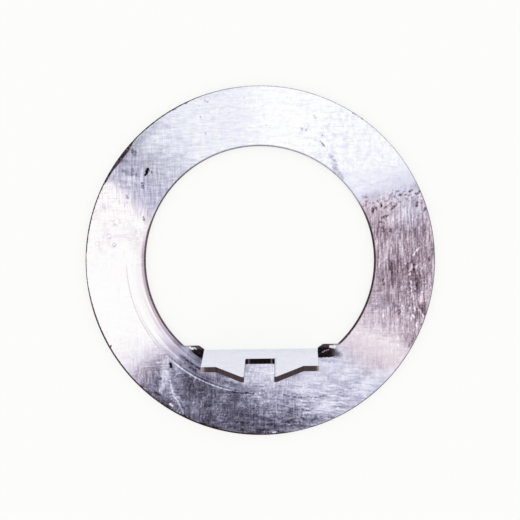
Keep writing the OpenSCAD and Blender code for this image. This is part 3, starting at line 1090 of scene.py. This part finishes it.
def nut_arcs(sheet):
    """Rings that the turning nut rubbed round the lower left: shade added, and shade taken away."""
    g = sheet.g
    rubbed = sheet.rings(2.2, 0.02, 3.0, 3.0, 0.6)
    where = g.product(g.ease(sheet.radius, 26.6, 25.6), g.ease(sheet.radius, 22.4, 23.0),
                      sheet.sector(228, 16, 24))
    off_line = g.minus(sheet.radius, 26.15)
    line = g.near(off_line, 0.03, 0.2)
    bright = g.product(line, sheet.sector(247, 12, 10))
    faint = g.product(line, sheet.sector(203, 16, 8), 0.12)
    under = g.product(g.near(g.total(off_line, 0.3), 0.03, 0.25), sheet.sector(243, 14, 6), 0.14)
    wiped = g.product(g.near(g.minus(sheet.radius, 23.2), 0.3, 1.0), sheet.sector(231, 8, 8), 0.06)
    return g.total(g.product(rubbed, where, 0.1), faint, under), g.total(g.product(bright, 0.3), wiped)


def edges(sheet):
    """Painted shade of the rolled rim and bore edges, for the dark they reflect, and a duller band by the
    bore.
    """
    g = sheet.g
    rim = OUTER_R / MM
    bore = BORE_R / MM
    uneven = g.product(sheet.speckle, 0.05)
    width = g.total(0.2, sheet.sectors((142.5, 1.5, 6, 0.4), (146, 6, 3, 0.24), (236, 36, 16, 0.16),
                                       (146, 28, 6, 0.07)),
                    g.product(sheet.sector(243, 12, 8), g.ease(sheet.mottle, -0.4, 0.8, 0.0, 0.3)))
    dashes = g.noise(g.joined(g.product(sheet.angle, 0.55), 4.0, 0.0), 1.0, 2.0)
    dashes = g.product(g.ease(dashes, 0.42, 0.58, -0.1, 0.26),
                       g.highest(sheet.sector(124, 13, 4), sheet.sector(163, 10, 6)))
    inside = g.total(g.minus(rim, sheet.radius), uneven)
    line = g.ease(g.maths("DIVIDE", inside, width), 0.7, 1.2, 1.0, 0.0)
    strength = sheet.sectors((150, 36, 10, 0.34), (235, 36, 16, 0.34), (350, 30, 20, 0.12),
                             (250, 8, 12, 0.12), (60, 30, 12, -0.14), (300, 9, 8, 0.2))
    strength = g.total(0.42, strength, g.product(sheet.speckle, 0.2), dashes)
    outer = g.product(line, strength)
    inside = g.total(g.minus(sheet.radius, bore), uneven)
    width = g.total(0.26, sheet.sectors((345, 35, 12, 0.14), (200, 32, 12, 0.12)))
    line = g.ease(g.maths("DIVIDE", inside, width), 0.6, 1.25, 1.0, 0.0)
    strength = sheet.sectors((48, 24, 12, -0.1), (345, 38, 12, 0.4), (190, 50, 30, 0.24))
    strength = g.total(0.38, strength, g.product(sheet.speckle, 0.1))
    round_part = g.ease(sheet.reach, -17.2, -16.2)
    inner = g.product(line, strength, round_part, g.rest(sheet.tang))
    band = g.product(g.ease(sheet.radius, bore + 0.95, bore + 0.65), round_part)
    band = g.product(band, sheet.sector(205, 28, 14), g.ease(sheet.radius, bore - 0.1, bore), 0.2)
    return g.highest(outer, inner), band


def tang_shade(sheet):
    """The tang's faces: clean, with painted shade towards the fold and in a line beside the notch's right
    wall.
    """
    g = sheet.g
    fold = g.ease(sheet.reach, -17.0, -13.0, 0.105, 0.085)
    # Painted shade in a line beside the notch's right wall
    notch = g.product(g.ease(sheet.across, 2.2, 2.7), g.ease(sheet.across, 3.3, 2.8),
                      g.ease(sheet.reach, -12.9, -12.4))
    uneven = g.weighed((sheet.level, 0.014), (sheet.mottle, 0.014), (sheet.speckle, 0.008))
    return g.total(fold, g.product(notch, 0.13), uneven)


def under_shade(sheet):
    """The side that lies on the bearing: dull and cross-brushed, with rings that turning rubbed in it."""
    g = sheet.g
    rubbed = sheet.rings(1.6, 0.015, 8.0, 4.0, 0.65)
    rings = g.product(rubbed, g.ease(sheet.drift["X"], -0.12, 0.12, 0.02, 0.07))
    grey = g.ease(sheet.drift["Y"], -0.15, 0.15, 0.15, 0.25)
    nicks = g.product(sheet.flecks(40, 0.9, 0.5, 0.16, 14.0), 0.3)
    lines = g.product(g.total(sheet.upright, sheet.level), 0.04)
    return g.total(grey, rings, lines, g.product(sheet.mottle, 0.02), nicks)


def torn_shade(sheet):
    """The sheared walls: a burnished band streaked by the punch, over a torn and duller one; partly painted
    shade.
    """
    g = sheet.g
    off = g.maths("ABSOLUTE", sheet.across)
    # Painted shade on the notch's floor, a recess, and painted highlights near its rounded corners
    floor = g.product(sheet.tang, g.ease(sheet.reach, -11.4, -12.0), g.ease(off, 3.0, 2.7))
    fillet_highlights = g.near(g.minus(off, 2.15), 0.05, 0.3, 0.4)
    # The tang's wall ends and the notch's left wall are painted lighter
    ends = g.highest(g.ease(sheet.across, 10.2, 11.1, 0.0, 0.34), g.ease(sheet.across, -9.9, -10.9, 0.0, 0.4))
    side = g.product(g.near(g.total(sheet.across, 2.75), 0.1, 0.3, 0.6), g.ease(sheet.reach, -12.2, -11.6),
                     g.ease(sheet.reach, -4.2, -4.6))
    ends = g.product(sheet.tang, g.highest(ends, side))
    streaks = g.waver(g.vector("MULTIPLY", sheet.blank, (4.0, 4.0, 0.5)), 1.0, 3.0, 0.6)
    outside = g.product(g.ease(sheet.radius, 28.0, 32.0), 0.14)
    burnished = g.minus(g.total(0.52, g.product(streaks, 0.12)), outside)
    torn = g.total(0.72, g.product(g.noise(sheet.blank, 5.0, 2.0), 0.14), g.product(streaks, 0.04))
    ring = g.between(g.ease(g.total(sheet.z, g.product(streaks, 0.04)), 0.45, 0.6), torn, burnished)
    # The tang walls' dark colour is partly painted shade, for the dark they reflect
    wall = g.between(sheet.tang, ring, g.total(0.72, g.product(streaks, 0.05), g.product(floor, 0.24)))
    return g.minus(wall, g.total(g.product(fillet_highlights, floor), ends))


def dent_shade(sheet):
    """Dark colour of the dents beside the tang's foot, part torn metal and part painted shade, and darker
    patches round them.
    """
    g = sheet.g
    dent = g.total(g.ease(sheet.dent, 0.0, 0.45, 0.0, 0.62), g.ease(sheet.dent, 0.35, 0.9, 0.0, 0.3))
    darker_round_dents = g.highest(g.product(sheet.patch((15.0, -18.3), (2.2, 1.5), -10, 1.0), 0.56),
                       g.product(sheet.patch((-13.2, -18.1), (1.9, 0.9), -42, 0.8), 0.48))
    return g.product(dent, sheet.upper), darker_round_dents


def sheet_steel():
    """Worn, cross-brushed sheet: lighter left and top, darker bottom and right, partly painted reflection."""
    material, g, shader = new_material("worn_plated_steel")
    sheet = Sheet(g)
    on_top = g.product(sheet.upper, g.rest(sheet.tang))
    beneath = g.product(g.rest(sheet.upper), g.rest(sheet.tang))

    broad, stained, warm = broad_shade(sheet)
    texture = grain(sheet, broad, stained)
    dark, light = marks(sheet)
    arc_dark, arc_light = nut_arcs(sheet)
    edge, band = edges(sheet)
    shade = g.total(broad, texture, arc_dark, band)
    shade = g.minus(g.total(shade, dark), g.total(light, arc_light))
    shade = g.weighed((shade, on_top), (tang_shade(sheet), sheet.tang), (under_shade(sheet), beneath))
    # Painted shade along the rolled edges
    shade = g.highest(shade, g.product(edge, sheet.upper))
    dent, darker_round_dents = dent_shade(sheet)
    # The dents' colour, partly painted shade, speckled a little
    speckled_dent_shade = g.product(dent, g.total(1.0, g.product(sheet.speckle, 0.1)))
    shade = g.highest(shade, g.product(darker_round_dents, on_top), speckled_dent_shade)
    shade = g.highest(g.minus(shade, traced(g, sheet.frayed, GLINTS)), 0.0)

    warm = g.product(warm, on_top)
    smoky = g.product(sheet.sector(122, 12, 16), on_top, 0.8)
    cool = g.blend(smoky, ramp(g, shade, COOL), ramp(g, shade, SMOKY))
    painted = g.blend(warm, cool, ramp(g, shade, WARM))
    # The walls, the painted dark edge lines and the dents' shade take the brown colours
    cut = g.highest(shade, g.product(torn_shade(sheet), sheet.wall))
    painted = g.blend(g.highest(sheet.wall, edge, dent), painted, ramp(g, cut, BROWN))

    g.tree.links.new(painted, shader.inputs["Base Color"])
    shader.inputs["Metallic"].default_value = 1
    rough = g.total(0.2, g.product(shade, 0.3), g.product(texture, 0.2))
    g.tree.links.new(g.between(sheet.wall, rough, 0.5), shader.inputs["Roughness"])
    height = g.weighed((sheet.upright, 0.3), (sheet.level, 0.3))
    bump = g.add("ShaderNodeBump", {"Height": height, "Distance": GRAIN_DEPTH, "Strength": 1.0})
    g.tree.links.new(bump.outputs[0], shader.inputs["Normal"])
    return material


# ---------------------------------------------------------------- studio

# The camera looks down from a little to the right. FIELD is how wide a view it takes in at its aim, and it
# is rolled so that the sheet's grain lies level.
EYE = Vector((6, 0, 200)) * MM
AIM = Vector((0.12, 0.04, 1.2)) * MM
FIELD = 101.8 * MM
CAMERA_ROLL = LAY

FLOOR_WHITE = (0.98, 0.985, 0.965, 1)
# The share of its own white that the floor shows instead of the light on it
FLOOR_GLOW = 0.8
FLOOR_HALF = 1.5


def camera():
    data = bpy.data.cameras.new("camera")
    data.lens = data.sensor_width * (EYE - AIM).length / FIELD
    data.clip_start = 10 * MM
    made = placed("camera", data)
    look = (AIM - EYE).normalized()
    right = look.cross(Vector((0, 1, 0))).normalized()
    turned = Matrix.Rotation(CAMERA_ROLL, 3, look)
    side, up = turned @ right, turned @ right.cross(look)
    made.matrix_world = Matrix.LocRotScale(EYE, Matrix((side, up, -look)).transposed(), None)
    bpy.context.scene.camera = made


def floor():
    """A white floor. Seen or reflected, it glows a little, so that only a faint shadow shows on it."""
    data = bpy.data.meshes.new("floor")
    corners = [(x * FLOOR_HALF, y * FLOOR_HALF, 0) for x, y in ((-1, -1), (1, -1), (1, 1), (-1, 1))]
    data.from_pydata(corners, [], [(0, 1, 2, 3)])
    material, g, shader = new_material("white_floor")
    shader.inputs["Base Color"].default_value = FLOOR_WHITE
    shader.inputs["Roughness"].default_value = 0.9
    shader.inputs["Specular IOR Level"].default_value = 0
    glow = g.add("ShaderNodeEmission", {"Color": FLOOR_WHITE, "Strength": 1.0})
    path = g.add("ShaderNodeLightPath").outputs
    seen = g.highest(path["Is Camera Ray"], path["Is Glossy Ray"])
    inputs = {0: g.product(seen, FLOOR_GLOW), 1: shader.outputs[0], 2: glow.outputs[0]}
    mixed = g.add("ShaderNodeMixShader", inputs)
    g.tree.links.new(mixed.outputs[0], g.tree.nodes["Material Output"].inputs["Surface"])
    data.materials.append(material)
    made = placed("floor", data)


def world():
    """Even white light from all round."""
    made = bpy.data.worlds.new("studio")
    bpy.context.scene.world = made
    made.use_nodes = True
    light = made.node_tree.nodes["Background"].inputs
    light["Color"].default_value = (1, 1, 1, 1)
    light["Strength"].default_value = 1
    made.cycles.sampling_method = "NONE"


bpy.context.scene.view_settings.view_transform = "Standard"
make_washer(sheet_steel())
camera()
floor()
world()
